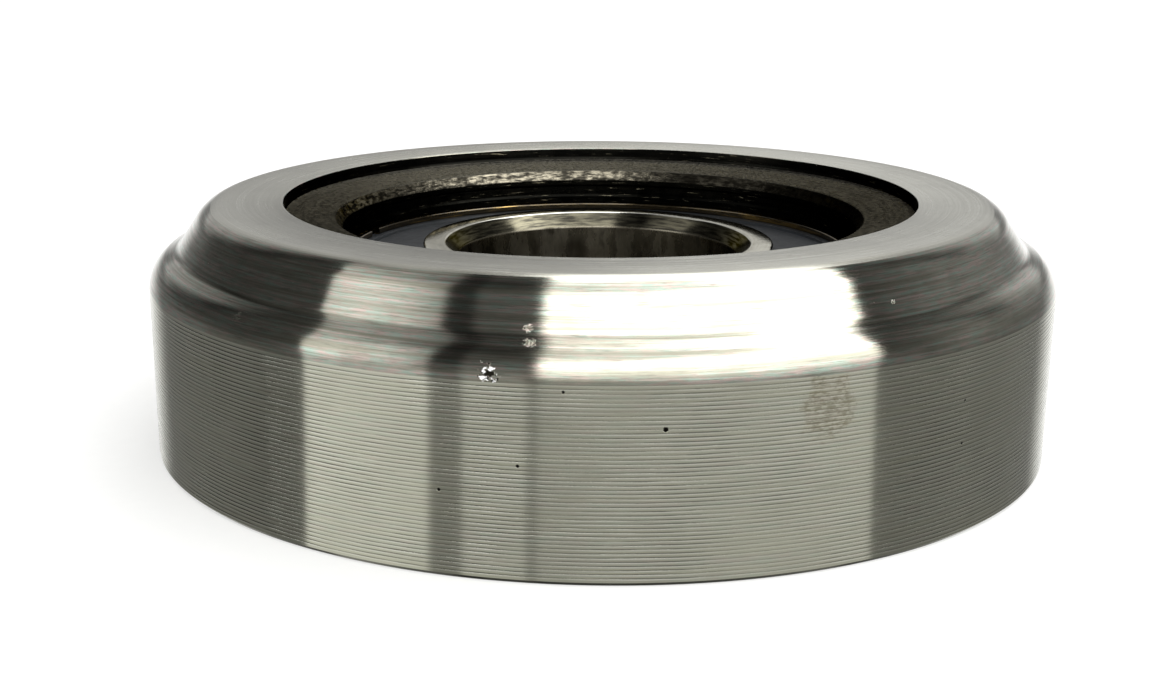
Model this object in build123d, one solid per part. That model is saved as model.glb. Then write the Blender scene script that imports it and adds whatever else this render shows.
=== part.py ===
from build123d import *
import os
from math import sqrt, tan, radians

# Yoke-type cam follower: a thick-walled roller on a sealed single-row ball bearing, with no stud of
# its own. It is held by a pin through the inner ring's bore.
#
# Millimetres, +Z up along the axis of rotation. The origin is on the axis, level with the roller's
# lower face, and the inner ring's lower face is flush with it.

# ---- Driving dimensions: bearing --------------------------------------------------------------
BORE_RADIUS = 20.0          # fits a 40 mm pin
INNER_WALL = 3.256          # inner ring under the ball track
BALL_DIAMETER = 14.288      # 9/16 inch
BALL_COUNT = 8
TRACK_CONFORMITY = 0.525    # track radius as a share of the ball diameter
RACE_PLAY = 0.02            # radial clearance of a ball in each track
INNER_SHOULDER = 1.944      # depth of the inner track
OUTER_SHOULDER = 2.35       # depth of the outer track
BORE_CHAMFER = 2.0
EDGE_BREAK = 0.4            # rounding of the inner ring's outer edges

# ---- Cage: two pressed halves, riveted between the balls --------------------------------------
CAGE_SHEET = 1.2
CAGE_SIDE_GAP = 2.1         # from the cage to the shoulder of either ring
POCKET_PLAY = 0.15
RIVET_RADIUS = 1.25
RIVET_HEAD_RADIUS = 2.1
RIVET_HEAD_HEIGHT = 0.9

# ---- Seals: rubber bonded to a steel insert, held by a retaining ring -------------------------
CAGE_SEAL_GAP = 2.0         # from the cage to the seal's inner side
SEAL_THICKNESS = 1.5        # at the clamped rim
SEAL_RECESS = 1.95          # from the inner ring's end face down to the seal
SEAL_STEP = 1.436           # from the outer ring's shoulder out to the seal seat
SEAL_FIT = 0.05             # radial gap at the seat and at the lip
SEAL_RIM_WIDTH = 1.95
SEAL_WEB_DROP = 0.4         # the web lies this much lower than the rim
INSERT_THICKNESS = 0.7
INSERT_COVER = 0.4          # rubber round the insert's outer edge
INSERT_LIP_GAP = 2.75       # from the lip's tip to the insert
LIP_ROOT_WIDTH = 1.6
LIP_DROP = 0.75             # the lip's tip lies this much lower than the web
LIP_TIP_HEIGHT = 0.25
LIP_HEEL = 0.45             # the lip's heel stands this much below the insert
SEAL_RIM_ROUND = 0.15       # roundings of the rubber
LIP_ROOT_ROUND = 0.4
LIP_HEEL_ROUND = 0.3

RETAINER_THICKNESS = 0.9
RETAINER_COVER = 1.0        # how far the retaining ring laps over the seal's rim
RETAINER_GROOVE_DEPTH = 0.95
RETAINER_GROOVE_PLAY = 0.1
RETAINER_GAP_ANGLE = 4.0    # degrees between the ring's ends
RETAINER_GAP_AT = 161.0     # degrees from +X to the middle of the gap
RETAINER_END_ROUND = 0.6

# ---- Roller: the outer ring's own profile -----------------------------------------------------
TREAD_RADIUS = 64.0
RIM_RISE = 6.6              # height of the roller's upper face over the inner ring
SHOULDER_TOP = 26.3         # height of the tread's upper corner before it is rounded
SHOULDER_ROUND = 4.8
SHOULDER_WIDTH = 4.1        # from the tread in to the foot of the flank
SHOULDER_SLOPE = 27.7       # degrees that the shoulder climbs from its rounding to the flank
FOOT_ROUND = 2.0            # hollow between the shoulder and the flank
FLANK_SLOPE = 34.1          # degrees between the flank and the axis
FLANK_BLEND = 4.0           # rounding from the flank to the upper face
TREAD_CHAMFER = 0.5
RIM_BREAK = 0.15
COUNTERBORE_DEPTH = 1.8
LEDGE_WIDTH = 7.2
LEDGE_FALL = 0.7            # the ledge dips this much towards the axis
LEDGE_FOOT_ROUND = 0.6
MOUTH_CHAMFER_WIDTH = 1.05
MOUTH_CHAMFER_HEIGHT = 1.4
MOUTH_ROUND = 0.3
RELIEF_TOP = 0.8            # from the mouth's chamfer down to the shallow relief in the wall
RELIEF_DEPTH = 0.35
RELIEF_LAND = 0.9           # plain wall left between the relief and the retaining groove

# ---- Sizes that follow from them --------------------------------------------------------------
BALL_RADIUS = BALL_DIAMETER / 2
TRACK_RADIUS = BALL_DIAMETER * TRACK_CONFORMITY
INNER_TRACK = BORE_RADIUS + INNER_WALL
PITCH_RADIUS = INNER_TRACK + RACE_PLAY + BALL_RADIUS
OUTER_TRACK = PITCH_RADIUS + BALL_RADIUS + RACE_PLAY
INNER_LAND = INNER_TRACK + INNER_SHOULDER
OUTER_LAND = OUTER_TRACK - OUTER_SHOULDER
SEAL_SEAT = OUTER_LAND + SEAL_STEP
MOUTH_RADIUS = SEAL_SEAT + MOUTH_CHAMFER_WIDTH
COUNTERBORE_RADIUS = MOUTH_RADIUS + LEDGE_WIDTH

POCKET_RADIUS = BALL_RADIUS + POCKET_PLAY
CAGE_HALF_HEIGHT = POCKET_RADIUS + CAGE_SHEET
CAGE_INNER = INNER_LAND + CAGE_SIDE_GAP
CAGE_OUTER = OUTER_LAND - CAGE_SIDE_GAP

SEAL_BACK = CAGE_HALF_HEIGHT + CAGE_SEAL_GAP         # distances from the balls' plane
SEAL_FRONT = SEAL_BACK + SEAL_THICKNESS
GROOVE_FRONT = SEAL_FRONT + RETAINER_THICKNESS + RETAINER_GROOVE_PLAY
INNER_HALF_WIDTH = SEAL_FRONT + SEAL_RECESS

BALL_PLANE = INNER_HALF_WIDTH
INNER_WIDTH = 2 * INNER_HALF_WIDTH
WIDTH = INNER_WIDTH + RIM_RISE
PITCH_STEP = 360 / BALL_COUNT


def turned(corners):
    """Solid of revolution about Z from a closed list of (radius, height, rounding) corners."""
    points = [(radius, height) for radius, height, _ in corners]
    roundings = [rounding for _, _, rounding in corners]
    with BuildPart() as piece:
        with BuildSketch(Plane.XZ):
            with BuildLine():
                FilletPolyline(*points, radius=roundings, close=True)
            make_face()
        revolve(axis=Axis.Z)
    return piece.part


def ball_track(radius):
    """The torus that a ball's track leaves in a ring, centred on the given circle."""
    return Pos(0, 0, BALL_PLANE) * Torus(radius, TRACK_RADIUS)


def flipped(piece):
    """The same piece at the other end of the bearing, turned over about the balls' plane."""
    return mirror(piece, about=Plane.XY.offset(BALL_PLANE))


def at_ball(index, offset=0.0):
    """Place on the pitch circle: on a ball, or an offset share of the spacing past it."""
    return Rot(0, 0, (index + offset) * PITCH_STEP) * Pos(PITCH_RADIUS, 0, BALL_PLANE)


def outer_ring():
    """Thick roller: plain tread, rounded shoulder, sloping flank and a counterbored upper face."""
    foot_radius = TREAD_RADIUS - SHOULDER_WIDTH
    foot_height = SHOULDER_TOP + SHOULDER_WIDTH * tan(radians(SHOULDER_SLOPE))
    crest_radius = foot_radius - (WIDTH - foot_height) * tan(radians(FLANK_SLOPE))
    ledge_outer = WIDTH - COUNTERBORE_DEPTH
    ledge_inner = ledge_outer - LEDGE_FALL
    mouth_foot = ledge_inner - MOUTH_CHAMFER_HEIGHT
    relief_top = mouth_foot - RELIEF_TOP
    relief_foot = BALL_PLANE + GROOVE_FRONT + RELIEF_LAND
    relief_wall = SEAL_SEAT + RELIEF_DEPTH
    groove_floor = SEAL_SEAT + RETAINER_GROOVE_DEPTH
    seat_edge = EDGE_BREAK + SEAL_SEAT
    profile = [
        (seat_edge, 0, 0), (TREAD_RADIUS - TREAD_CHAMFER, 0, 0), (TREAD_RADIUS, TREAD_CHAMFER, 0),
        (TREAD_RADIUS, SHOULDER_TOP, SHOULDER_ROUND), (foot_radius, foot_height, FOOT_ROUND),
        (crest_radius, WIDTH, FLANK_BLEND), (COUNTERBORE_RADIUS, WIDTH, RIM_BREAK),
        (COUNTERBORE_RADIUS, ledge_outer, LEDGE_FOOT_ROUND), (MOUTH_RADIUS, ledge_inner, MOUTH_ROUND),
        (SEAL_SEAT, mouth_foot, MOUTH_ROUND), (SEAL_SEAT, relief_top, 0),
        (relief_wall, relief_top - RELIEF_DEPTH, 0), (relief_wall, relief_foot + RELIEF_DEPTH, 0),
        (SEAL_SEAT, relief_foot, 0),
        (SEAL_SEAT, BALL_PLANE + GROOVE_FRONT, 0), (groove_floor, BALL_PLANE + GROOVE_FRONT, 0),
        (groove_floor, BALL_PLANE + SEAL_FRONT, 0), (SEAL_SEAT, BALL_PLANE + SEAL_FRONT, 0),
        (SEAL_SEAT, BALL_PLANE + SEAL_BACK, 0), (OUTER_LAND, BALL_PLANE + SEAL_BACK, 0),
        (OUTER_LAND, BALL_PLANE - SEAL_BACK, 0), (SEAL_SEAT, BALL_PLANE - SEAL_BACK, 0),
        (SEAL_SEAT, BALL_PLANE - SEAL_FRONT, 0), (groove_floor, BALL_PLANE - SEAL_FRONT, 0),
        (groove_floor, BALL_PLANE - GROOVE_FRONT, 0), (SEAL_SEAT, BALL_PLANE - GROOVE_FRONT, 0),
        (SEAL_SEAT, EDGE_BREAK, 0),
    ]
    return turned(profile) - ball_track(OUTER_TRACK - TRACK_RADIUS)


def inner_ring():
    """Plain inner ring with a chamfered bore, its track and a ground land for each seal's lip."""
    chamfered = BORE_RADIUS + BORE_CHAMFER
    profile = [
        (chamfered, 0, EDGE_BREAK), (INNER_LAND, 0, EDGE_BREAK),
        (INNER_LAND, INNER_WIDTH, EDGE_BREAK), (chamfered, INNER_WIDTH, EDGE_BREAK),
        (BORE_RADIUS, INNER_WIDTH - BORE_CHAMFER, EDGE_BREAK), (BORE_RADIUS, BORE_CHAMFER, EDGE_BREAK),
    ]
    return turned(profile) - ball_track(INNER_TRACK + TRACK_RADIUS)


def ball(index):
    """One ball, where it sits on the pitch circle."""
    return at_ball(index) * Sphere(BALL_RADIUS)


def cage_half():
    """Upper half of the ribbon cage: domed pockets joined by flat tabs with a rivet hole each."""
    balls = range(BALL_COUNT)
    level = Pos(0, 0, BALL_PLANE)
    upward = (Align.CENTER, Align.CENTER, Align.MIN)
    tabs = level * Cylinder(CAGE_OUTER, CAGE_SHEET, align=upward)
    domes = [at_ball(i) * Sphere(CAGE_HALF_HEIGHT) for i in balls]
    reach = level * Cylinder(CAGE_OUTER, CAGE_HALF_HEIGHT + CAGE_SHEET, align=upward)
    middle = level * Cylinder(CAGE_INNER, CAGE_HALF_HEIGHT + CAGE_SHEET, align=upward)
    pockets = [at_ball(i) * Sphere(POCKET_RADIUS) for i in balls]
    holes = [at_ball(i, 0.5) * Cylinder(RIVET_RADIUS, 3 * CAGE_SHEET) for i in balls]
    return ((tabs + domes) & (reach - middle)) - pockets - holes


def rivet(index):
    """Rivet between two balls, with a low domed head on each side of the cage."""
    head_top = CAGE_SHEET + RIVET_HEAD_HEIGHT
    crown = RIVET_HEAD_HEIGHT / 2
    profile = [
        (0, -head_top, 0), (RIVET_HEAD_RADIUS, -head_top, crown), (RIVET_HEAD_RADIUS, -CAGE_SHEET, 0),
        (RIVET_RADIUS, -CAGE_SHEET, 0), (RIVET_RADIUS, CAGE_SHEET, 0),
        (RIVET_HEAD_RADIUS, CAGE_SHEET, 0), (RIVET_HEAD_RADIUS, head_top, crown), (0, head_top, 0),
    ]
    return at_ball(index, 0.5) * turned(profile)


def seal_insert():
    """Flat steel washer that stiffens the upper seal and rests on the step in the outer ring."""
    back = BALL_PLANE + SEAL_BACK
    outer = SEAL_SEAT - SEAL_FIT - INSERT_COVER
    inner = INNER_LAND + SEAL_FIT + INSERT_LIP_GAP
    return turned([
        (inner, back, 0), (outer, back, 0),
        (outer, back + INSERT_THICKNESS, 0), (inner, back + INSERT_THICKNESS, 0),
    ])


def seal_rubber():
    """Rubber of the upper seal: clamped rim, thinner web over the insert, and a lip on the inner ring."""
    back = BALL_PLANE + SEAL_BACK
    front = BALL_PLANE + SEAL_FRONT
    web = front - SEAL_WEB_DROP
    outer = SEAL_SEAT - SEAL_FIT
    tip = INNER_LAND + SEAL_FIT
    insert_outer = outer - INSERT_COVER
    insert_inner = tip + INSERT_LIP_GAP
    tip_top = web - LIP_DROP
    return turned([
        (outer, back, 0), (outer, front, 0),
        (outer - SEAL_RIM_WIDTH, front, SEAL_RIM_ROUND),
        (outer - SEAL_RIM_WIDTH - SEAL_WEB_DROP / 2, web, SEAL_RIM_ROUND),
        (tip + LIP_ROOT_WIDTH, web, LIP_ROOT_ROUND), (tip, tip_top, 0), (tip, tip_top - LIP_TIP_HEIGHT, 0),
        (tip + LIP_ROOT_WIDTH, back - LIP_HEEL, LIP_HEEL_ROUND), (insert_inner, back, 0),
        (insert_inner, back + INSERT_THICKNESS, 0), (insert_outer, back + INSERT_THICKNESS, 0),
        (insert_outer, back, 0),
    ])


def retaining_ring():
    """Split steel ring in the outer ring's groove, with rounded ends and a narrow gap."""
    inner = SEAL_SEAT - SEAL_FIT - RETAINER_COVER
    outer = SEAL_SEAT + RETAINER_GROOVE_DEPTH - RETAINER_GROOVE_PLAY
    with BuildPart() as ring:
        with BuildSketch(Plane.XZ):
            with Locations(((inner + outer) / 2, BALL_PLANE + SEAL_FRONT + RETAINER_THICKNESS / 2)):
                Rectangle(outer - inner, RETAINER_THICKNESS)
        revolve(axis=Axis.Z, revolution_arc=360 - RETAINER_GAP_ANGLE)
        fillet(ring.edges().filter_by(Axis.Z), RETAINER_END_ROUND)
    return Rot(0, 0, RETAINER_GAP_AT + RETAINER_GAP_ANGLE / 2) * ring.part


def assembly():
    """Every piece by its name."""
    pieces = {
        "outer_ring": outer_ring(),
        "inner_ring": inner_ring(),
        "cage_upper": cage_half(),
        "seal_insert_upper": seal_insert(),
        "seal_rubber_upper": seal_rubber(),
        "retaining_ring_upper": retaining_ring(),
    }
    for name in [name for name in pieces if name.endswith("_upper")]:
        pieces[name.replace("_upper", "_lower")] = flipped(pieces[name])
    for index in range(BALL_COUNT):
        pieces[f"ball_{index + 1}"] = ball(index)
        pieces[f"rivet_{index + 1}"] = rivet(index)
    return pieces


os.makedirs("parts", exist_ok=True)
for node, solid in assembly().items():
    solid.label = node
    export_step(solid, f"parts/{node}.step")
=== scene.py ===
# %% [markdown]
# # A sealed cam follower on a pale floor
# The part is a thick steel roller on a sealed ball bearing. It is almost wholly turned work, so nearly
# every visible piece here is one closed outline spun about Z. The bearing's hidden pieces stay as the
# frame gives them, and only get their finishes.

# %% Load the fixed frame
import math
import random

import bmesh
import bpy
from mathutils import Matrix, Quaternion, Vector


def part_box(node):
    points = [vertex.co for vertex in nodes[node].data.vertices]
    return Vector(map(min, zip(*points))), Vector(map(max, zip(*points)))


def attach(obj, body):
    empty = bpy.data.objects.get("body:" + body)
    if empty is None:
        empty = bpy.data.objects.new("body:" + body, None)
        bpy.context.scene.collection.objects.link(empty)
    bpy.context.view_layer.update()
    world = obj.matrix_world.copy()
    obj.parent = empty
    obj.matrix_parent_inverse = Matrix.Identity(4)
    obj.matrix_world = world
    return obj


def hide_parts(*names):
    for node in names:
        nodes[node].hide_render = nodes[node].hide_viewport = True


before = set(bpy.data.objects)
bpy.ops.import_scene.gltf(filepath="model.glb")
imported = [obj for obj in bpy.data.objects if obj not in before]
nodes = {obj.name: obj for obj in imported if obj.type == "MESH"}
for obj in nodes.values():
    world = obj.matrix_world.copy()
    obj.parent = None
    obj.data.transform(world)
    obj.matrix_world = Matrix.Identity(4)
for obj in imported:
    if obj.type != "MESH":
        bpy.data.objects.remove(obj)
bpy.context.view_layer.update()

MM = 0.001
scene = bpy.context.scene

# %% [markdown]
# ## Sizes
# The overall sizes are read from the frame, so the looks follow it if it changes. The frame holds a
# chamfer or a rounding only as triangles, so those are named in the cells that use them, in millimetres.


# %% Read the driving sizes from the frame
def top_of(name):
    """Height of a node's top, in mm."""
    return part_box(name)[1].z / MM


def radius_of(name):
    """Outer radius of a node that lies round the axis, in mm."""
    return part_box(name)[1].x / MM


def across(height):
    """The same height on the other side of the balls' plane."""
    return INNER_TOP - height


TREAD_R = radius_of("outer_ring")
WIDTH = top_of("outer_ring")
INNER_TOP = top_of("inner_ring")
LAND_R = radius_of("inner_ring")
SEAL_TOP = top_of("seal_rubber_upper")
INSERT_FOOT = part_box("seal_insert_upper")[0].z / MM
RETAINER_TOP = top_of("retaining_ring_upper")
SEAT_FIT = 0.05
SEAT_R = radius_of("seal_rubber_upper") + SEAT_FIT
print("tread radius", round(TREAD_R, 3), "width", round(WIDTH, 3), "seal seat", round(SEAT_R, 3))

# %% [markdown]
# ## Camera
# The camera stands a hand's reach away and looks down over the near edge. It is set first, so that each
# piece can be judged from one view. It is turned by two quaternions: one that aims it, and a small roll.
# A small lens shift frames the part and leaves the lean of its sides alone.

# %% Camera
CAMERA_BACK, CAMERA_HEIGHT = 251.114, 77.294
LOOK_DOWN, LOOK_LEFT, ROLL = (math.radians(a) for a in (17.345, 3.188, -0.26))

camera_data = bpy.data.cameras.new("camera")
camera_data.sensor_width = 36.0
camera_data.lens = 53.979
camera_data.shift_x = 0.0712
camera_data.shift_y = 0.0684
camera_data.clip_start = 0.01
camera = bpy.data.objects.new("camera", camera_data)
aim = Vector((-math.sin(LOOK_LEFT) * math.cos(LOOK_DOWN), math.cos(LOOK_LEFT) * math.cos(LOOK_DOWN),
              -math.sin(LOOK_DOWN)))
camera.location = (0, -CAMERA_BACK * MM, CAMERA_HEIGHT * MM)
camera.rotation_euler = (aim.to_track_quat("-Z", "Y") @ Quaternion((0, 0, 1), ROLL)).to_euler()
scene.collection.objects.link(camera)
scene.camera = camera
print("camera looks down", round(math.degrees(LOOK_DOWN), 1), "degrees")

# %% [markdown]
# ## Colours and nodes
# Colours are written as sRGB hex, which is what a colour picker shows, and turned linear once, because
# a shader adds light. One helper adds any node with its settings and its links, so that a material
# reads as a list of what it is made of.


# %% Two helpers for materials
def linear(code):
    """A hex colour in sRGB as linear RGBA."""
    parts = [int(code[i:i + 2], 16) / 255 for i in (1, 3, 5)]
    return [c / 12.92 if c <= 0.04045 else ((c + 0.055) / 1.055) ** 2.4 for c in parts] + [1]


def add(tree, kind, inputs=(), **settings):
    """Add a node with its settings; each input is a value or the socket that feeds it."""
    made = tree.nodes.new(kind)
    for name, value in settings.items():
        setattr(made, name, value)
    for socket, value in dict(inputs).items():
        if isinstance(value, bpy.types.NodeSocket):
            tree.links.new(value, made.inputs[socket])
        else:
            made.inputs[socket].default_value = value
    return made


# %% [markdown]
# ## Floor
# A sheet of paper on a light table: part of its white comes from below, so the part's shadow stays
# pale. It is left out of mirror-like reflections, because turned steel shows its surroundings as hard
# bands, and those are laid out on the world in the next cell, under the horizon as well.

# %% Floor
FLOOR_HALF = 3.0
FIBRE_SIZE = 2.5
PAPER_GLOW = 0.53
bm = bmesh.new()
bmesh.ops.create_grid(bm, x_segments=1, y_segments=1, size=FLOOR_HALF)
floor_mesh = bpy.data.meshes.new("floor")
bm.to_mesh(floor_mesh)
bm.free()
floor = bpy.data.objects.new("floor", floor_mesh)
scene.collection.objects.link(floor)
floor.visible_glossy = False

paper = bpy.data.materials.new("paper_on_light_table")
paper.use_nodes = True
tree = paper.node_tree
sheet = tree.nodes["Principled BSDF"]
spot = add(tree, "ShaderNodeTexCoord").outputs["Object"]
fibres = add(tree, "ShaderNodeTexNoise", {"Vector": spot, "Scale": 1 / (FIBRE_SIZE * MM), "Detail": 3})
tint = add(tree, "ShaderNodeMix", {0: fibres.outputs[0], 6: linear("#A3A3A1"), 7: linear("#A7A7A5")},
           data_type="RGBA")
tree.links.new(tint.outputs[2], sheet.inputs["Base Color"])
sheet.inputs["Roughness"].default_value = 0.95
sheet.inputs["Specular IOR Level"].default_value = 0
sheet.inputs["Emission Color"].default_value = linear("#FFFFFF")
sheet.inputs["Emission Strength"].default_value = PAPER_GLOW
floor_mesh.materials.append(paper)
print("floor", 2 * FLOOR_HALF, "m square")

# %% [markdown]
# ## Studio
# Turned steel shows its surroundings as upright bands: each point of a ring mirrors one direction, and
# the tool marks smear that up and down only. So the studio is a set of upright panels: a lit one on
# the left, a wide bright one on the right, narrow dark gaps between them and dark sides. They are
# laid out by (x / (depth - y)) of the direction, which is the tangent of the angle round the ring at
# which they are seen. There are three rows: low panels for the tread, high ones for the flank, and the
# ceiling. Each pair of numbers is a panel's brightness at its left and right edge. Behind the part
# stands a plain grey wall that the flat faces mirror. It is brightest low down and to the right.

# %% Studio panels
PANEL_EDGES = (-0.769, -0.367, -0.285, -0.142, -0.118, 0.704)
EDGE_SOFTNESS = 0.0025
REACH = 1.2
LOW_DEPTH, HIGH_DEPTH, FAR_DEPTH, LEAST_DEPTH = 0.95, 1.01, 0.065, 0.05
ZENITH_LEVEL, NADIR_LEVEL, SIDE_LEVEL = 0.4, 0.12, 0.4
WALL_LEFT, WALL_RIGHT, WALL_END_LIFT, WALL_END_DROP = 0.50, 0.80, 0.14, 0.06
WALL_FOOT, WALL_MIDDLE, WALL_TOP_LIFT = 1.75, 0.36, 0.56
WALL_LOW_START, WALL_HIGH_START, WALL_FULL = 0.70, 0.56, 0.93
PAPER_SEEN = 0.95
LOW_ROW = ((0.19, 0.16), (0.80, 0.73), (0.26, 0.26), (0.51, 0.51), (0.28, 0.28), (0.43, 0.58), (0.19, 0.22))
HIGH_ROW = ((0.10, 0.09), (2.9, 0.55), (0.04, 0.04), (0.13, 0.15), (0.10, 0.10), (3.6, 3.6), (0.06, 0.48))
CEILING = ((0.07, 0.08), (0.9, 0.28), (0.05, 0.05), (0.12, 0.14), (0.12, 0.12), (5.0, 4.6), (0.06, 0.28))

world = bpy.data.worlds.new("studio")
scene.world = world
world.use_nodes = True
studio = world.node_tree
direction = add(studio, "ShaderNodeTexCoord").outputs["Generated"]
x, y, z = add(studio, "ShaderNodeSeparateXYZ", {0: direction}).outputs


def smooth(tree, value, start, end, low=0.0, high=1.0):
    """A value eased from low at start to high at end."""
    return add(tree, "ShaderNodeMapRange", {0: value, 1: start, 2: end, 3: low, 4: high},
               interpolation_type="SMOOTHSTEP").outputs[0]


def calc(tree, operation, one, two=0.0):
    """One sum on two numbers or sockets."""
    return add(tree, "ShaderNodeMath", {0: one, 1: two}, operation=operation).outputs[0]


def blend(tree, factor, one, two):
    """A colour between two others."""
    return add(tree, "ShaderNodeMix", {0: factor, 6: one, 7: two}, data_type="RGBA").outputs[2]


def grey(level):
    """A brightness as linear RGBA."""
    return (level, level, level, 1)


def panels(levels, place):
    """A ramp across the studio: each panel runs from one level at its left to another at its right."""
    ramp = add(studio, "ShaderNodeValToRGB", {0: place})
    stops = ramp.color_ramp.elements
    stops[0].color = grey(levels[0][0])
    stops[1].color = grey(levels[-1][1])
    for edge, left, right in zip(PANEL_EDGES, levels, levels[1:]):
        middle = (edge + REACH) / (2 * REACH)
        stops.new(middle - EDGE_SOFTNESS).color = grey(left[1])
        stops.new(middle + EDGE_SOFTNESS).color = grey(right[0])
    return ramp.outputs[0]


depth = calc(studio, "ADD", smooth(studio, z, 0.0, 0.6, LOW_DEPTH, HIGH_DEPTH),
             smooth(studio, y, 0.1, 0.6, 0.0, FAR_DEPTH))
depth = calc(studio, "MAXIMUM", calc(studio, "SUBTRACT", depth, y), LEAST_DEPTH)
place = smooth(studio, calc(studio, "DIVIDE", x, depth), -REACH, REACH)
place.node.interpolation_type = "LINEAR"

low = panels(LOW_ROW, place)
high = panels(HIGH_ROW, place)
ceiling = panels(CEILING, place)
walls = blend(studio, smooth(studio, z, 0.06, 0.80), low, high)
overhead = calc(studio, "MULTIPLY", smooth(studio, y, -0.35, 0.1), smooth(studio, z, -0.05, 0.3))
walls = blend(studio, overhead, walls, ceiling)

# The panels fade straight overhead, under the floor, and high up at both sides towards the back.
fade = calc(studio, "MULTIPLY", smooth(studio, z, 0.86, 0.97, 1.0, ZENITH_LEVEL),
            smooth(studio, z, -0.9, -0.5, NADIR_LEVEL, 1.0))
aside = smooth(studio, calc(studio, "ABSOLUTE", x), 0.2, 0.35)
shade = calc(studio, "MULTIPLY", aside, smooth(studio, z, 0.3, 0.5))
shade = calc(studio, "MULTIPLY", shade, smooth(studio, y, 0.35, 0.6))
fade = calc(studio, "MULTIPLY", fade, smooth(studio, shade, 0.0, 1.0, 1.0, SIDE_LEVEL))
walls = add(studio, "ShaderNodeVectorMath", {0: walls, "Scale": fade}, operation="SCALE").outputs[0]

back_wall = calc(studio, "ADD", smooth(studio, x, -0.06, 0.08, WALL_LEFT, WALL_RIGHT),
                 smooth(studio, x, -0.10, -0.22, 0.0, WALL_END_LIFT))
back_wall = calc(studio, "SUBTRACT", back_wall, smooth(studio, x, 0.10, 0.22, 0.0, WALL_END_DROP))
wall_height = calc(studio, "ADD", smooth(studio, z, -0.1, 0.1, WALL_FOOT, WALL_MIDDLE),
                   smooth(studio, z, 0.13, 0.18, 0.0, WALL_TOP_LIFT))
back_wall = calc(studio, "MULTIPLY", back_wall, wall_height)
wall_start = smooth(studio, z, 0.2, 0.5, WALL_LOW_START, WALL_HIGH_START)
room = blend(studio, smooth(studio, y, wall_start, WALL_FULL), walls, back_wall)
seen = blend(studio, add(studio, "ShaderNodeLightPath").outputs["Is Camera Ray"], room, grey(PAPER_SEEN))
studio.links.new(seen, studio.nodes["Background"].inputs["Color"])
print("studio panels", len(LOW_ROW), "in three rows")

# %% [markdown]
# ## Lamps
# A large soft lamp high on the right gives the floor its light and the part its faint shadow on the
# left. It is left out of reflections, where the panels already stand for it. The plain "Standard"
# view keeps the paper white and lets the brightest panel burn out.


# %% Lamps and colour management
def soft_lamp(name, place, size, power):
    """A round soft lamp that shines at the part."""
    data = bpy.data.lights.new(name, "AREA")
    data.shape = "DISK"
    data.size = size
    data.energy = power
    lamp = bpy.data.objects.new(name, data)
    lamp.location = place
    lamp.rotation_euler = (-lamp.location).to_track_quat("-Z", "Y").to_euler()
    lamp.visible_glossy = False
    scene.collection.objects.link(lamp)


soft_lamp("key_lamp", place=(0.45, 0.12, 0.5), size=0.5, power=1.3)
soft_lamp("fill_lamp", place=(-0.35, -0.5, 0.9), size=1.1, power=3.0)
scene.view_settings.view_transform = "Standard"
print("view", scene.view_settings.view_transform)

# %% [markdown]
# ## A lathe in mesh form
# A lathe leaves a body of revolution, so a piece starts as its half section: a closed ring of corners
# in the XZ plane. One spin with merged ends makes the body. A rounded corner is then a bevelled loop of
# edges, so the outline stays short and the rounding is truly round. An arc of radius R that turns by
# an angle reaches R tan(angle / 2) along each line, which is the bevel's offset.

# %% Spin an outline, round its corners and keep the piece
STEPS = 256
NEAR = 0.002


def spin_outline(bm, corners):
    """Turn a closed list of (radius, height) corners into a body of revolution."""
    ring = [bm.verts.new((r * MM, 0, z * MM)) for r, z in corners]
    sides = [bm.edges.new(pair) for pair in zip(ring, ring[1:] + ring[:1])]
    bmesh.ops.spin(bm, geom=ring + sides, cent=(0, 0, 0), axis=(0, 0, 1),
                   angle=math.tau, steps=STEPS, use_merge=True)
    bmesh.ops.recalc_face_normals(bm, faces=bm.faces)


def is_at(vert, corner):
    """Whether a vertex lies on the circle that a corner of the outline leaves."""
    radius = math.hypot(vert.co.x, vert.co.y) / MM
    return abs(radius - corner[0]) < NEAR and abs(vert.co.z / MM - corner[1]) < NEAR


def loop_of(bm, corner):
    """The ring of edges that one corner of the outline leaves behind."""
    found = {vert for vert in bm.verts if is_at(vert, corner)}
    return [edge for vert in found for edge in vert.link_edges
            if edge.other_vert(vert) in found and edge.verts[0] is vert]


def round_corners(bm, corners, rounding):
    """Bevel loops to arcs: rounding lists (corner, radius, segments)."""
    for corner, radius, segments in rounding:
        i = corners.index(corner)
        before = Vector(corners[i - 1]) - Vector(corner)
        after = Vector(corners[(i + 1) % len(corners)]) - Vector(corner)
        reach = radius * math.tan((math.pi - before.angle(after)) / 2)
        bmesh.ops.bevel(bm, geom=loop_of(bm, corner), offset=reach * MM, offset_type="OFFSET",
                        affect="EDGES", segments=segments, profile=0.5, material=-1, clamp_overlap=False)


def keep(bm, name, body, stands_for, materials, sharp_above=20.0):
    """Store a finished bmesh as a piece that rides on a body and stands for a CAD node."""
    for face in bm.faces:
        face.smooth = True
    for edge in bm.edges:
        if edge.is_manifold and math.degrees(edge.calc_face_angle()) > sharp_above:
            edge.smooth = False
    mesh = bpy.data.meshes.new(name)
    bm.to_mesh(mesh)
    bm.free()
    for material in materials:
        mesh.materials.append(material)
    piece = bpy.data.objects.new(name, mesh)
    scene.collection.objects.link(piece)
    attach(piece, body)
    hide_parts(stands_for)
    open_edges = sum(len(set(edge)) < 2 for edge in mesh.edge_keys)
    print(name, "faces", len(mesh.polygons), "broken edges", open_edges)
    return piece


# %% [markdown]
# ## Noise along the lathe's cut
# Anything a tool or a rub leaves on turned work is long round the axis and fine across it. This noise
# has that shape on any turned surface: X, Y and Z are squeezed to the mark's length and height, and the
# radius goes in as a fourth dimension, so that flat faces get rings too. It has no seam.


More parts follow.
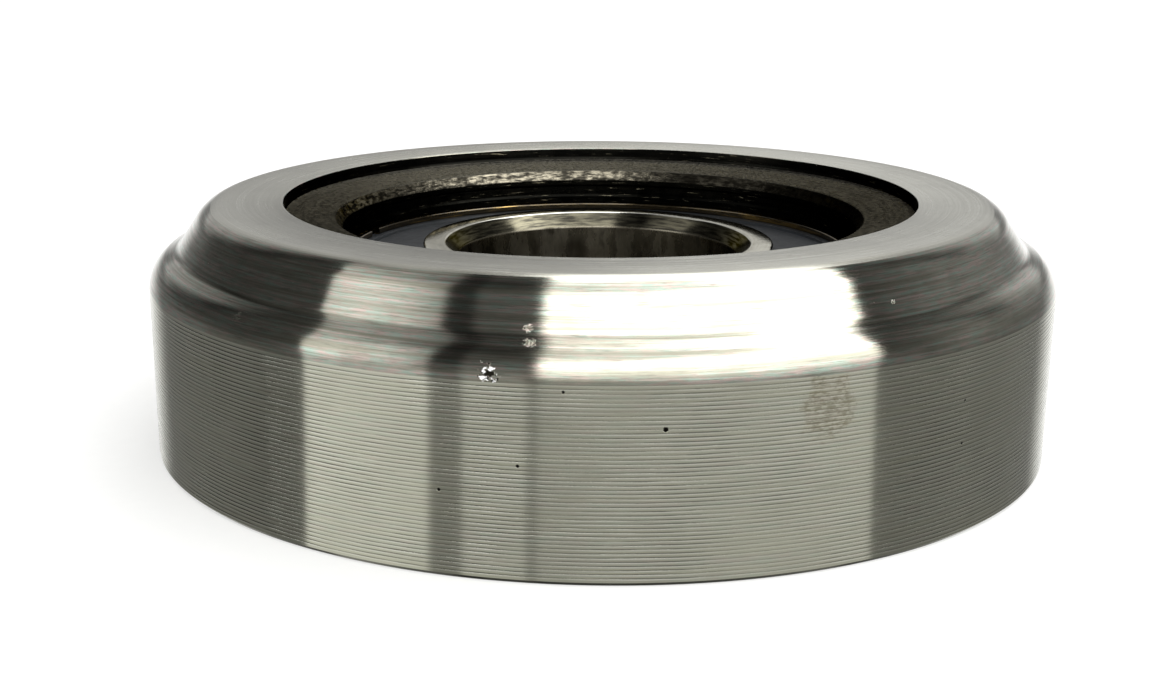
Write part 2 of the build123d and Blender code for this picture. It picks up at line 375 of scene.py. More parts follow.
# %% Lathe noise and small marks
def lathe_noise(tree, along, fine, detail=2.0, roughness=0.55, shift=0.0):
    """Noise with marks some mm long round the axis and some mm fine across it."""
    spot = add(tree, "ShaderNodeTexCoord").outputs["Object"]
    scale = (1 / (along * MM), 1 / (along * MM), 1 / (fine * MM))
    squeezed = add(tree, "ShaderNodeVectorMath", {0: spot, 1: scale}, operation="MULTIPLY").outputs[0]
    flat = add(tree, "ShaderNodeVectorMath", {0: spot, 1: (1, 1, 0)}, operation="MULTIPLY").outputs[0]
    radius = add(tree, "ShaderNodeVectorMath", {0: flat}, operation="LENGTH").outputs["Value"]
    fourth = add(tree, "ShaderNodeMath", {0: radius, 1: 1 / (fine * MM), 2: shift}, operation="MULTIPLY_ADD")
    return add(tree, "ShaderNodeTexNoise", {"Vector": squeezed, "W": fourth.outputs[0], "Scale": 1,
                                            "Detail": detail, "Roughness": roughness},
               noise_dimensions="4D").outputs[0]


def plain_noise(tree, size, detail=3.0, roughness=0.55):
    """Noise with features of one size in mm."""
    spot = add(tree, "ShaderNodeTexCoord").outputs["Object"]
    return add(tree, "ShaderNodeTexNoise", {"Vector": spot, "Scale": 1 / (size * MM), "Detail": detail,
                                            "Roughness": roughness}).outputs[0]


def blot(tree, angle, radius, height, size, ragged=0.5):
    """A ragged spot on the roller: 1 inside and 0 outside. The angle is from the front, to the right."""
    turn = math.radians(angle)
    centre = (radius * math.sin(turn) * MM, -radius * math.cos(turn) * MM, height * MM)
    spot = add(tree, "ShaderNodeTexCoord").outputs["Object"]
    gap = add(tree, "ShaderNodeVectorMath", {0: spot, 1: centre}, operation="DISTANCE").outputs["Value"]
    wander = calc(tree, "MULTIPLY", calc(tree, "SUBTRACT", plain_noise(tree, size * 0.45), 0.5),
                  ragged * size * 4 * MM)
    return smooth(tree, calc(tree, "ADD", gap, wander), size * MM, size * 0.7 * MM)


def steel(name, base, roughness, grain, edge="#FFFFFF"):
    """A metal with its grooves running round the axis: the reflection smears across them.

    The edge colour is what is left of a grazing reflection, which dirt and old oil take away.
    """
    material = bpy.data.materials.new(name)
    material.use_nodes = True
    tree = material.node_tree
    shader = tree.nodes["Principled BSDF"]
    shader.inputs["Base Color"].default_value = linear(base)
    shader.inputs["Metallic"].default_value = 1
    shader.inputs["Specular Tint"].default_value = linear(edge)
    shader.inputs["Roughness"].default_value = roughness
    shader.inputs["Anisotropic"].default_value = grain
    shader.inputs["Anisotropic Rotation"].default_value = 0.25
    tangent = add(tree, "ShaderNodeTangent", direction_type="RADIAL", axis="Z")
    tree.links.new(tangent.outputs[0], shader.inputs["Tangent"])
    return material, tree, shader


def relief(tree, shader, height, depth):
    """Bump of a depth in mm; the height runs from 0 to 1."""
    bump = add(tree, "ShaderNodeBump", {"Height": height, "Distance": depth * MM, "Strength": 1.0})
    tree.links.new(bump.outputs[0], shader.inputs["Normal"])


# %% [markdown]
# ## Turned tread
# The tread is hardened steel left as the lathe cut it, with one scallop for each turn of feed. Between
# scallops the tool tears a thin dark line, which starts and stops; its darkness is partly painted shade.
# Below each crest a light line is a painted highlight. The lines sit on the modelled scallops. Over them
# lie the faint pink and green of a drying oil film, cloudy patches, a rusty patch at the right and pits.

# %% Turned tread steel and its feed lines
FEED = 0.512
FIRST_CREST = 0.95
CREST_COUNT = 45
HEAVY, SLIGHT = 1.0, 0.5
TREAD_RELIEF = 0.016
LINE_DEPTH, PIT_DEPTH = 0.5, 4.0
STAIN_AT = (24.3, TREAD_R, 20.4, 4.2)
LARGE_PIT = (7.1, TREAD_R, 18.85, 0.34)
# angle from the front in degrees, height and size in mm
SMALL_PITS = (
    (-7.8, 14.3, 0.22), (-16.2, 10.7, 0.24), (-3.2, 23.2, 0.2), (43.9, 17.6, 0.2), (43.9, 12.2, 0.22),
)

turned_tread, tree, shader = steel("turned_hardened_steel", "#CBCBB6", 0.2, 1.0)
spot = add(tree, "ShaderNodeTexCoord").outputs["Object"]
height = add(tree, "ShaderNodeSeparateXYZ", {0: spot}).outputs["Z"]
wobble = calc(tree, "MULTIPLY", calc(tree, "SUBTRACT", lathe_noise(tree, 9, 2), 0.5), 0.16 * MM)
risen = calc(tree, "SUBTRACT", calc(tree, "ADD", height, wobble), FIRST_CREST * MM)
turns = calc(tree, "DIVIDE", risen, FEED * MM)
phase = calc(tree, "FRACT", turns)

# each turn of feed has a dark torn line above its crest, partly painted shade, and a painted highlight below
# the next one
tear_and_shade = smooth(tree, phase, 0.38, 0.12)
painted_highlight = smooth(tree, phase, 0.56, 0.80)
cut_ends = smooth(tree, turns, CREST_COUNT + 0.3, CREST_COUNT - 0.6)
in_feed = calc(tree, "MULTIPLY", smooth(tree, turns, -0.6, -0.2), cut_ends)
torn = smooth(tree, lathe_noise(tree, 7.0, 0.45, detail=4, roughness=0.6), 0.22, 0.54)
patches = smooth(tree, plain_noise(tree, 16, detail=3), 0.34, 0.62, SLIGHT, HEAVY)
strength = calc(tree, "MULTIPLY", in_feed, calc(tree, "MULTIPLY", torn, patches))
line = calc(tree, "MULTIPLY", tear_and_shade, strength)
painted_highlight = calc(tree, "MULTIPLY", painted_highlight, calc(tree, "MULTIPLY", strength, 0.7))
print("feed lines", CREST_COUNT, "at", FEED, "mm")

# %% Tread colour: oil film, clouds, stain and pits
film = blend(tree, lathe_noise(tree, 2.6, 0.45, detail=3), linear("#D2C3B6"), linear("#BDCDB6"))
base = blend(tree, smooth(tree, lathe_noise(tree, 30, 0.8, detail=4), 0.35, 0.7), film, linear("#CACAB4"))
cloud = smooth(tree, plain_noise(tree, 9, detail=4), 0.35, 0.75, 0.0, 0.16)
base = blend(tree, cloud, base, linear("#8E8C7C"))
# painted highlight: a light line below each crest; then the dark torn line, partly painted shade
base = blend(tree, painted_highlight, base, linear("#F6F6E8"))
base = blend(tree, calc(tree, "MULTIPLY", line, 0.85), base, linear("#4C4A42"))

stain = blot(tree, *STAIN_AT, 0.3)
freckles = smooth(tree, lathe_noise(tree, 0.9, 0.32, detail=3, shift=3.0), 0.46, 0.60)
base = blend(tree, calc(tree, "MULTIPLY", stain, 0.1), base, linear("#B89C7C"))
freckled = calc(tree, "MULTIPLY", calc(tree, "MULTIPLY", stain, freckles), 0.4)
base = blend(tree, freckled, base, linear("#665C3A"))
pits = blot(tree, *LARGE_PIT, 0.2)
for angle, level, size in SMALL_PITS:
    pits = calc(tree, "MAXIMUM", pits, blot(tree, angle, TREAD_R, level, size, 0.2))
base = blend(tree, pits, base, linear("#14120F"))
tree.links.new(base, shader.inputs["Base Color"])
print("pits", 1 + len(SMALL_PITS))

# %% Tread roughness and relief
rough = calc(tree, "ADD", smooth(tree, lathe_noise(tree, 5, 0.5, detail=3), 0.3, 0.75, 0.11, 0.17),
             calc(tree, "MULTIPLY", line, 0.2))
tree.links.new(rough, shader.inputs["Roughness"])
ripple = calc(tree, "MULTIPLY", lathe_noise(tree, 12.0, 0.25, detail=3), 0.35)
height_map = calc(tree, "SUBTRACT", ripple, calc(tree, "MULTIPLY", line, LINE_DEPTH))
height_map = calc(tree, "SUBTRACT", height_map, calc(tree, "MULTIPLY", pits, PIT_DEPTH))
relief(tree, shader, height_map, TREAD_RELIEF)
print("tread relief", TREAD_RELIEF, "mm")

# %% [markdown]
# ## Fine-turned shoulder and flank
# The same steel, finished with a slower feed. The feed is too fine to draw, so its marks are drawn as
# long streaks of mixed height, with finer scratches over them. They scatter the bright panel into
# brushed lines with a ragged edge. A few rubs and one nick are left from handling. The nick's chipped
# bits are painted white and matt, a painted highlight that stands in for their glint.

# %% Fine-turned flank steel
FLANK_RELIEF = 0.009
DENT_DEPTH, BURR_HEIGHT = 5.0, 8.0
# angle from the front in degrees, then radius, height and size in mm
FIRST_RUB = (-44.4, 62.6, 26.8, 0.7)
MORE_RUBS = ((36.3, 58.85, 30.0, 0.3), (-7.0, 60.9, 27.9, 0.7), (-7.4, 59.4, 29.2, 0.5))
NICK_AT = (-10.9, 63.77, 24.85, 0.95)

fine_turned, tree, shader = steel("fine_turned_steel", "#CBCBBA", 0.2, 1.0)
film = blend(tree, smooth(tree, lathe_noise(tree, 2.2, 0.3, detail=3), 0.38, 0.62),
             linear("#D6C2BA"), linear("#B8CCBE"))
streaks = smooth(tree, lathe_noise(tree, 26, 0.42, detail=5, roughness=0.65), 0.36, 0.66)
base = blend(tree, streaks, linear("#9F9D8D"), film)
scratches = smooth(tree, lathe_noise(tree, 3.0, 0.15, detail=3, roughness=0.6, shift=5.0), 0.52, 0.68)
base = blend(tree, calc(tree, "MULTIPLY", scratches, 0.5), base, linear("#77756A"))
cloud = smooth(tree, plain_noise(tree, 7, detail=4), 0.42, 0.8, 0.0, 0.35)
base = blend(tree, cloud, base, linear("#6F6D60"))
specks = smooth(tree, lathe_noise(tree, 0.9, 0.3, detail=2, shift=7.0), 0.72, 0.78)

knocks = blot(tree, *FIRST_RUB, 0.7)
for rub in MORE_RUBS:
    knocks = calc(tree, "MAXIMUM", knocks, blot(tree, *rub, 0.6))
grit = smooth(tree, plain_noise(tree, 0.3, detail=2), 0.5, 0.62)
rubbed_in = calc(tree, "MULTIPLY", knocks, calc(tree, "MULTIPLY", grit, 0.5))
base = blend(tree, rubbed_in, base, linear("#5C4C3C"))

nick = blot(tree, *NICK_AT, 1.1)
chips_and_glint = smooth(tree, lathe_noise(tree, 0.7, 0.35, detail=2), 0.50, 0.58)
# painted highlight: inside the nick the chipped bits are white and matt, not metal
base = blend(tree, nick, base, blend(tree, chips_and_glint, linear("#3A382F"), linear("#FFFFFF")))
painted_glint = calc(tree, "MULTIPLY", nick, chips_and_glint)
bare = calc(tree, "SUBTRACT", 1.0, calc(tree, "MULTIPLY", painted_glint, 0.8))
tree.links.new(bare, shader.inputs["Metallic"])
tree.links.new(base, shader.inputs["Base Color"])
print("rubs", 1 + len(MORE_RUBS))

# %% Flank roughness and relief
rough = smooth(tree, lathe_noise(tree, 14, 0.6, detail=4), 0.3, 0.75, 0.11, 0.17)
rough = calc(tree, "ADD", rough, calc(tree, "MULTIPLY", specks, 0.15))
tree.links.new(rough, shader.inputs["Roughness"])
height_map = calc(tree, "ADD", lathe_noise(tree, 30, 0.3, detail=4, roughness=0.65),
                  calc(tree, "MULTIPLY", lathe_noise(tree, 3.0, 0.2, detail=3), 0.2))
dents = calc(tree, "MULTIPLY", calc(tree, "SUBTRACT", plain_noise(tree, 0.16), 0.5), DENT_DEPTH)
height_map = calc(tree, "SUBTRACT", height_map, calc(tree, "MULTIPLY", knocks, dents))
burr = calc(tree, "MULTIPLY", calc(tree, "SUBTRACT", chips_and_glint, 0.5), BURR_HEIGHT)
height_map = calc(tree, "SUBTRACT", height_map, calc(tree, "MULTIPLY", nick, burr))
relief(tree, shader, height_map, FLANK_RELIEF)
print("flank finish ready")

# %% [markdown]
# ## Faced ends
# The flat faces are faced off on the lathe and rubbed in use, which leaves satin steel with the
# faintest rings and a few cloudy wipes.

# %% Faced steel
faced, tree, shader = steel("faced_steel", "#C9C8BB", 0.24, 0.4)
rings = lathe_noise(tree, 34, 0.22, detail=4, roughness=0.6)
base = blend(tree, smooth(tree, rings, 0.3, 0.7), linear("#BDBBAE"), linear("#CFCEC3"))
cloud = smooth(tree, plain_noise(tree, 8, detail=4), 0.4, 0.8, 0.0, 0.22)
base = blend(tree, cloud, base, linear("#97958A"))
specks = smooth(tree, plain_noise(tree, 0.7, detail=1), 0.73, 0.78)
base = blend(tree, calc(tree, "MULTIPLY", specks, 0.4), base, linear("#6E665A"))
tree.links.new(base, shader.inputs["Base Color"])
wipes = calc(tree, "MULTIPLY", plain_noise(tree, 5), 0.05)
rough = calc(tree, "ADD", smooth(tree, rings, 0.3, 0.7, 0.19, 0.25), wipes)
tree.links.new(rough, shader.inputs["Roughness"])
relief(tree, shader, calc(tree, "ADD", rings, calc(tree, "MULTIPLY", plain_noise(tree, 0.3), 0.5)), 0.006)

# %% [markdown]
# ## Counterbore
# The ledge is a rough cut that was never touched again, so it is dull and grainy. The chamfer below it
# was struck by the press tool that put the bearing in: bright rubs on grey, with painted shade that
# darkens it towards its right side.
# The bores carry an old oil film, which is near black, with a few bright wet streaks.

# %% Rough ledge, rubbed chamfer and oiled bores
PAINTED_SHADE_FROM, PAINTED_SHADE_FULL = 4.0, 16.0

rough_cut, tree, shader = steel("rough_cut_steel", "#7F7E75", 0.45, 0.3, "#8A8880")
grain = plain_noise(tree, 0.55, detail=4, roughness=0.65)
base = blend(tree, smooth(tree, grain, 0.32, 0.7), linear("#3C3B37"), linear("#625F56"))
grime = smooth(tree, lathe_noise(tree, 6, 0.5, detail=3), 0.4, 0.7, 0.0, 0.5)
base = blend(tree, grime, base, linear("#2F2E2B"))
tree.links.new(base, shader.inputs["Base Color"])
tree.links.new(smooth(tree, grain, 0.3, 0.7, 0.42, 0.58), shader.inputs["Roughness"])
relief(tree, shader, grain, 0.05)

rubbed, tree, shader = steel("press_rubbed_steel", "#B9B2A0", 0.3, 0.5, "#8A8880")
rubs = smooth(tree, lathe_noise(tree, 1.6, 0.45, detail=4, roughness=0.6), 0.4, 0.6)
base = blend(tree, rubs, linear("#302E28"), linear("#8A8474"))
grime = smooth(tree, plain_noise(tree, 1.3, detail=3), 0.45, 0.68, 0.0, 0.85)
base = blend(tree, grime, base, linear("#1E1C18"))
# painted shade: the chamfer turns near black towards its right side, by the part's X
spot = add(tree, "ShaderNodeTexCoord").outputs["Object"]
across_part = add(tree, "ShaderNodeSeparateXYZ", {0: spot}).outputs["X"]
painted_shade_right = smooth(tree, across_part, PAINTED_SHADE_FROM * MM, PAINTED_SHADE_FULL * MM, 0.0, 0.85)
base = blend(tree, painted_shade_right, base, linear("#171511"))
tree.links.new(base, shader.inputs["Base Color"])
tree.links.new(smooth(tree, rubs, 0.0, 1.0, 0.42, 0.24), shader.inputs["Roughness"])
relief(tree, shader, calc(tree, "ADD", rubs, plain_noise(tree, 0.8, detail=3)), 0.03)

oiled, tree, shader = steel("oil_blackened_steel", "#1E1D19", 0.22, 0.5, "#6E6C64")
wet = smooth(tree, lathe_noise(tree, 3.0, 0.22, detail=4, roughness=0.6), 0.6, 0.72)
base = blend(tree, wet, linear("#1D1C18"), linear("#B4AC90"))
base = blend(tree, smooth(tree, lathe_noise(tree, 12, 0.7, detail=3), 0.35, 0.75), linear("#11110F"), base)
tree.links.new(base, shader.inputs["Base Color"])
tree.links.new(smooth(tree, plain_noise(tree, 2.2), 0.3, 0.7, 0.16, 0.34), shader.inputs["Roughness"])
relief(tree, shader, calc(tree, "ADD", wet, lathe_noise(tree, 4, 0.3, detail=3)), 0.02)
print("counterbore finishes ready")

# %% [markdown]
# ## Roller outline
# The ring has a cylindrical tread, a rounded shoulder, a sloping flank and a counterbored face, and
# inside it the seats and grooves for seals and retaining rings. The scallops of the tread are points
# of the outline too: a crest, and a valley nearer to the crest below it, as the tool's nose leaves
# them. Their depth varies a little from turn to turn.

# %% Roller outline
SHOULDER_TOP, SHOULDER_ROUND, SHOULDER_WIDTH, SHOULDER_SLOPE = 26.3, 4.5, 4.1, 27.7
FLANK_SLOPE, FLANK_BLEND, FOOT_ROUND = 34.1, 4.0, 2.0
TREAD_CHAMFER, RIM_BREAK = 0.5, 0.15
COUNTERBORE_DEPTH, LEDGE_WIDTH, LEDGE_FALL, LEDGE_FOOT_ROUND = 1.8, 7.2, 0.7, 0.6
MOUTH_WIDTH, MOUTH_HEIGHT, MOUTH_ROUND = 1.05, 1.4, 0.3
RELIEF_TOP, RELIEF_DEPTH, RELIEF_LAND = 0.8, 0.35, 0.9
GROOVE_DEPTH, GROOVE_PLAY = 0.95, 0.1
CAGE_GAP = 2.1
BORE_BREAK = 0.4
SCALLOP_DEPTH, SCALLOP_LEAN = 0.011, 0.35

random.seed(64)
shoulder_rise = SHOULDER_WIDTH * math.tan(math.radians(SHOULDER_SLOPE))
flank_foot = (TREAD_R - SHOULDER_WIDTH, SHOULDER_TOP + shoulder_rise)
rim_r = flank_foot[0] - (WIDTH - flank_foot[1]) * math.tan(math.radians(FLANK_SLOPE))
mouth_r = SEAT_R + MOUTH_WIDTH
counterbore_r = mouth_r + LEDGE_WIDTH
ledge_outer = WIDTH - COUNTERBORE_DEPTH
ledge_inner = ledge_outer - LEDGE_FALL
mouth_foot = ledge_inner - MOUTH_HEIGHT
relief_top = mouth_foot - RELIEF_TOP
groove_r = SEAT_R + GROOVE_DEPTH
groove_top = RETAINER_TOP + GROOVE_PLAY
relief_foot = groove_top + RELIEF_LAND
relief_r = SEAT_R + RELIEF_DEPTH
land_r = radius_of("cage_upper") + CAGE_GAP

scallops = []
for turn in range(CREST_COUNT):
    crest_z = FIRST_CREST + turn * FEED
    scallops.append((TREAD_R, crest_z))
    if turn < CREST_COUNT - 1:
        scallops.append((TREAD_R - SCALLOP_DEPTH * random.uniform(0.6, 1.3), crest_z + FEED * SCALLOP_LEAN))

shoulder = (TREAD_R, SHOULDER_TOP)
rim = (rim_r, WIDTH)
bore_rim = (counterbore_r, WIDTH)
ledge_foot = (counterbore_r, ledge_outer)
mouth_top = (mouth_r, ledge_inner)
mouth_base = (SEAT_R, mouth_foot)
roller_outline = [
    (SEAT_R + BORE_BREAK, 0), (TREAD_R - TREAD_CHAMFER, 0), (TREAD_R, TREAD_CHAMFER), *scallops,
    shoulder, flank_foot, rim, bore_rim, ledge_foot, mouth_top, mouth_base, (SEAT_R, relief_top),
    (relief_r, relief_top - RELIEF_DEPTH), (relief_r, relief_foot + RELIEF_DEPTH), (SEAT_R, relief_foot),
    (SEAT_R, groove_top), (groove_r, groove_top), (groove_r, SEAL_TOP), (SEAT_R, SEAL_TOP),
    (SEAT_R, INSERT_FOOT), (land_r, INSERT_FOOT), (land_r, across(INSERT_FOOT)), (SEAT_R, across(INSERT_FOOT)),
    (SEAT_R, across(SEAL_TOP)), (groove_r, across(SEAL_TOP)), (groove_r, across(groove_top)),
    (SEAT_R, across(groove_top)), (SEAT_R, BORE_BREAK),
]
print("roller outline corners", len(roller_outline), "of them scallops", len(scallops))

# %% [markdown]
# ## Roller body
# After the spin and the bevels, each face gets the finish of the zone it lies in. The crests of the
# scallops are kept sharp and the valleys smooth, so that each scallop shades as a hollow arc.


# %% Roller body
def roller_zone(face):
    """Which finish a face of the roller has, by its place and tilt."""
    centre = face.calc_center_median()
    radius = math.hypot(centre.x, centre.y) / MM
    level = centre.z / MM
    if radius < mouth_r - 0.08 and mouth_foot - 0.1 < level < ledge_inner:
        return 4
    if mouth_r - 0.2 < radius < counterbore_r - 0.3 and level > mouth_foot:
        return 3
    if radius < counterbore_r + 0.02 and level > 0.01:
        return 5
    if abs(face.normal.z) > 0.9 and (level < 0.01 or level > WIDTH - 0.3):
        return 2
    return 0 if level < FIRST_CREST + CREST_COUNT * FEED else 1


bm = bmesh.new()
spin_outline(bm, roller_outline)
round_corners(bm, roller_outline, (
    (shoulder, SHOULDER_ROUND, 22), (flank_foot, FOOT_ROUND, 8), (rim, FLANK_BLEND, 16),
    (bore_rim, RIM_BREAK, 3), (ledge_foot, LEDGE_FOOT_ROUND, 5),
    (mouth_top, MOUTH_ROUND, 4), (mouth_base, MOUTH_ROUND, 4)))
for face in bm.faces:
    face.material_index = roller_zone(face)
for crest in scallops[::2]:
    for edge in loop_of(bm, crest):
        edge.smooth = False
keep(bm, "turned_roller", "roller", "outer_ring",
     (turned_tread, fine_turned, faced, rough_cut, rubbed, oiled))

# %% [markdown]
# ## Ground inner ring
# The inner ring's faces are ground flat and its bore is honed to size. Its mouth chamfer was polished
# by pins sliding in. The bore has a brown-grey oil tone and dark smudges that run downwards.

# %% Inner ring
BORE_CHAMFER, RING_WALL = 2.0, 5.2
BORE_R = LAND_R - RING_WALL

ground_face, tree, shader = steel("ground_ring_steel", "#D6D4CC", 0.08, 0.2, "#E8E6DE")
rings = lathe_noise(tree, 12, 0.2, detail=3)
base = blend(tree, smooth(tree, rings, 0.3, 0.7), linear("#D0CEC5"), linear("#E6E5DE"))
base = blend(tree, smooth(tree, plain_noise(tree, 3, detail=4), 0.45, 0.8, 0.0, 0.4), base, linear("#7A786E"))
tree.links.new(base, shader.inputs["Base Color"])
relief(tree, shader, plain_noise(tree, 0.4), 0.008)

polished_edge, tree, shader = steel("pin_polished_steel", "#BDBAAC", 0.2, 0.8, "#A8A69C")
wear = smooth(tree, lathe_noise(tree, 3, 0.4, detail=3), 0.35, 0.65)
base = blend(tree, wear, linear("#3A3832"), linear("#757160"))
tree.links.new(base, shader.inputs["Base Color"])
relief(tree, shader, lathe_noise(tree, 4, 0.35, detail=3), 0.012)

honed_bore, tree, shader = steel("honed_oily_steel", "#8E897B", 0.25, 0.3, "#8A8880")
spot = add(tree, "ShaderNodeTexCoord").outputs["Object"]
runs = add(tree, "ShaderNodeMapping", {"Vector": spot, "Scale": (1 / (3 * MM), 1 / (3 * MM), 1 / (7 * MM))})
smudge = add(tree, "ShaderNodeTexNoise", {"Vector": runs.outputs[0], "Scale": 1, "Detail": 4,
                                          "Roughness": 0.6}).outputs[0]
base = blend(tree, smooth(tree, smudge, 0.52, 0.72), linear("#7E796B"), linear("#35322A"))
base = blend(tree, smooth(tree, plain_noise(tree, 5), 0.4, 0.7, 0.0, 0.6), base, linear("#4C473B"))
tree.links.new(base, shader.inputs["Base Color"])
tree.links.new(smooth(tree, smudge, 0.3, 0.7, 0.2, 0.36), shader.inputs["Roughness"])
relief(tree, shader, smudge, 0.01)

inner_outline = [
    (BORE_R + BORE_CHAMFER, 0), (LAND_R, 0), (LAND_R, INNER_TOP), (BORE_R + BORE_CHAMFER, INNER_TOP),
    (BORE_R, INNER_TOP - BORE_CHAMFER), (BORE_R, BORE_CHAMFER),
]


def inner_zone(face):
    """Face, chamfer or bore."""
    centre = face.calc_center_median()
    radius = math.hypot(centre.x, centre.y) / MM
    if radius < BORE_R + 0.1:
        return 2
    return 1 if radius < BORE_R + BORE_CHAMFER - 0.1 else 0


bm = bmesh.new()
spin_outline(bm, inner_outline)
round_corners(bm, inner_outline, [(corner, BORE_BREAK, 4) for corner in inner_outline])
for face in bm.faces:
    face.material_index = inner_zone(face)
keep(bm, "ground_inner_ring", "inner", "inner_ring",
     (ground_face, polished_edge, honed_bore))
print("bore radius", round(BORE_R, 2))

# %% [markdown]
# ## Rubber seals
# Each seal is nitrile rubber moulded on a steel insert: a thick rim that the retaining ring presses
# on, a thinner web, and a lip that rubs on the inner ring. The rubber is blue-black and slightly
# shiny from grease, with mould rings and pale dust.

# %% Seals
RIM_WIDTH, WEB_DROP, LIP_ROOT, LIP_DROP, LIP_TIP, LIP_HEEL = 1.95, 0.4, 1.6, 0.75, 0.25, 0.45
INSERT_COVER, INSERT_LIP_GAP, INSERT_THICKNESS = 0.4, 2.75, 0.7
SEAL_RIM_ROUND, LIP_ROOT_ROUND = 0.15, 0.4

rubber = bpy.data.materials.new("moulded_nitrile_rubber")
rubber.use_nodes = True
tree = rubber.node_tree
shader = tree.nodes["Principled BSDF"]
dust = smooth(tree, plain_noise(tree, 0.5, detail=3), 0.62, 0.75)
flow = smooth(tree, lathe_noise(tree, 8, 0.6, detail=3), 0.35, 0.7)
base = blend(tree, flow, linear("#0F1113"), linear("#181B1E"))
base = blend(tree, calc(tree, "MULTIPLY", dust, 0.35), base, linear("#4B4D4C"))
tree.links.new(base, shader.inputs["Base Color"])
shader.inputs["IOR"].default_value = 1.52
shader.inputs["Specular IOR Level"].default_value = 0.22
tree.links.new(smooth(tree, plain_noise(tree, 3), 0.3, 0.7, 0.42, 0.58), shader.inputs["Roughness"])
mould = calc(tree, "ADD", lathe_noise(tree, 30, 0.35, detail=2),
             calc(tree, "MULTIPLY", plain_noise(tree, 0.35), 0.5))
relief(tree, shader, mould, 0.02)

seal_r = SEAT_R - SEAT_FIT
tip_r = LAND_R + SEAT_FIT
web_z = SEAL_TOP - WEB_DROP
tip_z = web_z - LIP_DROP
rim_step = (seal_r - RIM_WIDTH, SEAL_TOP)
web_edge = (seal_r - RIM_WIDTH - WEB_DROP / 2, web_z)
lip_root = (tip_r + LIP_ROOT, web_z)
pocket_inner = tip_r + INSERT_LIP_GAP
pocket_outer = seal_r - INSERT_COVER
pocket_top = INSERT_FOOT + INSERT_THICKNESS
seal_outline = [
    (seal_r, INSERT_FOOT), (seal_r, SEAL_TOP), rim_step, web_edge, lip_root, (tip_r, tip_z),
    (tip_r, tip_z - LIP_TIP), (tip_r + LIP_ROOT, INSERT_FOOT - LIP_HEEL), (pocket_inner, INSERT_FOOT),
    (pocket_inner, pocket_top), (pocket_outer, pocket_top), (pocket_outer, INSERT_FOOT),
]


def mirror_down(bm):
    """Turn an upper piece into its lower twin, across the balls' plane."""
    flip = Matrix.Translation((0, 0, INNER_TOP * MM)) @ Matrix.Scale(-1, 4, (0, 0, 1))
    bmesh.ops.transform(bm, matrix=flip, verts=bm.verts)
    bmesh.ops.recalc_face_normals(bm, faces=bm.faces)


for side in ("upper", "lower"):
    bm = bmesh.new()
    spin_outline(bm, seal_outline)
    round_corners(bm, seal_outline, ((rim_step, SEAL_RIM_ROUND, 2), (web_edge, SEAL_RIM_ROUND, 2),
                                     (lip_root, LIP_ROOT_ROUND, 4)))
    if side == "lower":
        mirror_down(bm)
    keep(bm, "moulded_seal_" + side, "roller", "seal_rubber_" + side, (rubber,))

# %% [markdown]
# ## Retaining rings
# A split ring of spring steel snaps into the groove over each seal. It is a partial spin, closed with
# caps at its two ends, and its long edges are rounded, so the wet upper edge shines as one bright line.
# The steel is dull and brown, with amber patches of old oil, so it has a tinted clear coat over metal.

# %% Retaining rings
RETAINER_COVER, GAP_ANGLE, GAP_AT = 1.0, 4.0, 161.0
RETAINER_EDGE = 0.22

spring, tree, shader = steel("oiled_spring_steel", "#A08F68", 0.18, 0.6)
amber = smooth(tree, lathe_noise(tree, 12, 0.8, detail=4), 0.52, 0.62)
base = blend(tree, amber, linear("#5A564A"), linear("#D8C48C"))
base = blend(tree, smooth(tree, lathe_noise(tree, 2.2, 0.4, detail=3), 0.58, 0.7), base, linear("#3A3324"))
tree.links.new(base, shader.inputs["Base Color"])
tree.links.new(smooth(tree, plain_noise(tree, 1.5), 0.3, 0.7, 0.14, 0.26), shader.inputs["Roughness"])
shader.inputs["Coat Weight"].default_value = 0.8
shader.inputs["Coat Roughness"].default_value = 0.08
shader.inputs["Coat Tint"].default_value = linear("#E2C890")
relief(tree, shader, lathe_noise(tree, 3, 0.5, detail=3), 0.06)

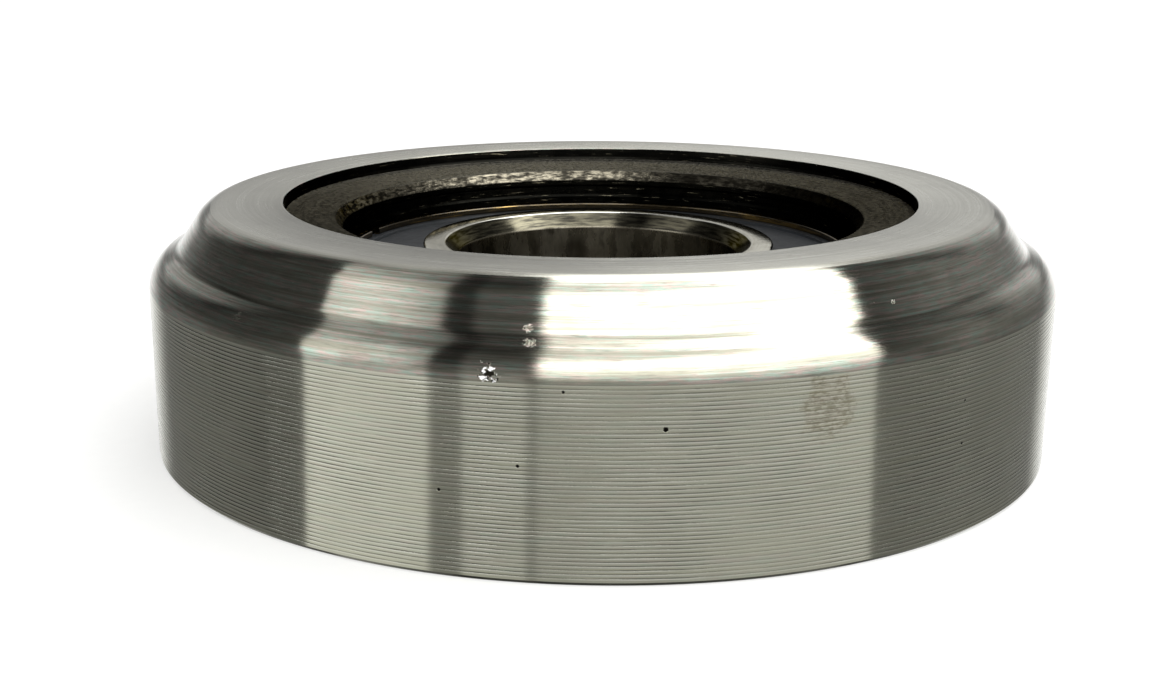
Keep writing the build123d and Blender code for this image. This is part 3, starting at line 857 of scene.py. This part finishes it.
retainer_inner = seal_r - RETAINER_COVER
retainer_outer = groove_r - GROOVE_PLAY
retainer_section = [(retainer_inner, SEAL_TOP), (retainer_outer, SEAL_TOP), (retainer_outer, RETAINER_TOP),
                    (retainer_inner, RETAINER_TOP)]
for side in ("upper", "lower"):
    bm = bmesh.new()
    ring = [bm.verts.new((r * MM, 0, z * MM)) for r, z in retainer_section]
    sides = [bm.edges.new(pair) for pair in zip(ring, ring[1:] + ring[:1])]
    bmesh.ops.spin(bm, geom=ring + sides, cent=(0, 0, 0), axis=(0, 0, 1),
                   angle=math.radians(360 - GAP_ANGLE), steps=STEPS)
    bmesh.ops.holes_fill(bm, edges=[edge for edge in bm.edges if edge.is_boundary])
    bmesh.ops.recalc_face_normals(bm, faces=bm.faces)
    lips = loop_of(bm, retainer_section[0]) + loop_of(bm, retainer_section[3])
    bmesh.ops.bevel(bm, geom=lips, offset=RETAINER_EDGE * MM, offset_type="OFFSET", affect="EDGES",
                    segments=4, profile=0.5, material=-1)
    start = math.radians(GAP_AT + GAP_ANGLE / 2)
    bmesh.ops.rotate(bm, cent=(0, 0, 0), matrix=Matrix.Rotation(start, 3, "Z"), verts=bm.verts)
    if side == "lower":
        mirror_down(bm)
    keep(bm, "split_retainer_" + side, "roller", "retaining_ring_" + side, (spring,))

# %% [markdown]
# ## Finishes of the hidden bearing
# The balls, the cage, its rivets and the seal inserts keep the frame's shapes. Balls are lapped to a
# mirror and show the finest random scratches. The cage is pressed from mild steel strip, so it has a
# fine rolled grain and a grease tone, and its rivet heads are a little brighter where the set struck.


# %% Balls, cage, rivets and inserts
def plain_steel(name, dark, light, size, roughness, depth):
    """A steel that was not turned: two tones in soft patches, with its roughness and grain."""
    material = bpy.data.materials.new(name)
    material.use_nodes = True
    tree = material.node_tree
    shader = tree.nodes["Principled BSDF"]
    shader.inputs["Metallic"].default_value = 1
    patches = plain_noise(tree, size, detail=4)
    tone = blend(tree, smooth(tree, patches, 0.35, 0.68), linear(dark), linear(light))
    tree.links.new(tone, shader.inputs["Base Color"])
    rough = smooth(tree, patches, 0.3, 0.7, roughness * 0.8, roughness * 1.2)
    tree.links.new(rough, shader.inputs["Roughness"])
    relief(tree, shader, plain_noise(tree, size * 0.12, detail=3), depth)
    return material


lapped = plain_steel("lapped_chromium_steel", "#C2C2C0", "#D6D6D4", 4.0, 0.08, 0.001)
pressed = plain_steel("pressed_mild_steel", "#8D8B82", "#B4B2A8", 2.5, 0.34, 0.01)
headed = plain_steel("headed_mild_steel", "#989589", "#C2BFB2", 0.8, 0.27, 0.01)
stamped = plain_steel("stamped_insert_steel", "#84837D", "#A9A8A1", 2.0, 0.38, 0.01)
FINISH_OF = {"ball": lapped, "cage": pressed, "rivet": headed, "seal_insert": stamped}
for name, node in nodes.items():
    for start, finish in FINISH_OF.items():
        if name.startswith(start):
            for holder in node.material_slots:
                holder.material = finish
print("carried-over pieces", sum(name.startswith(tuple(FINISH_OF)) for name in nodes))
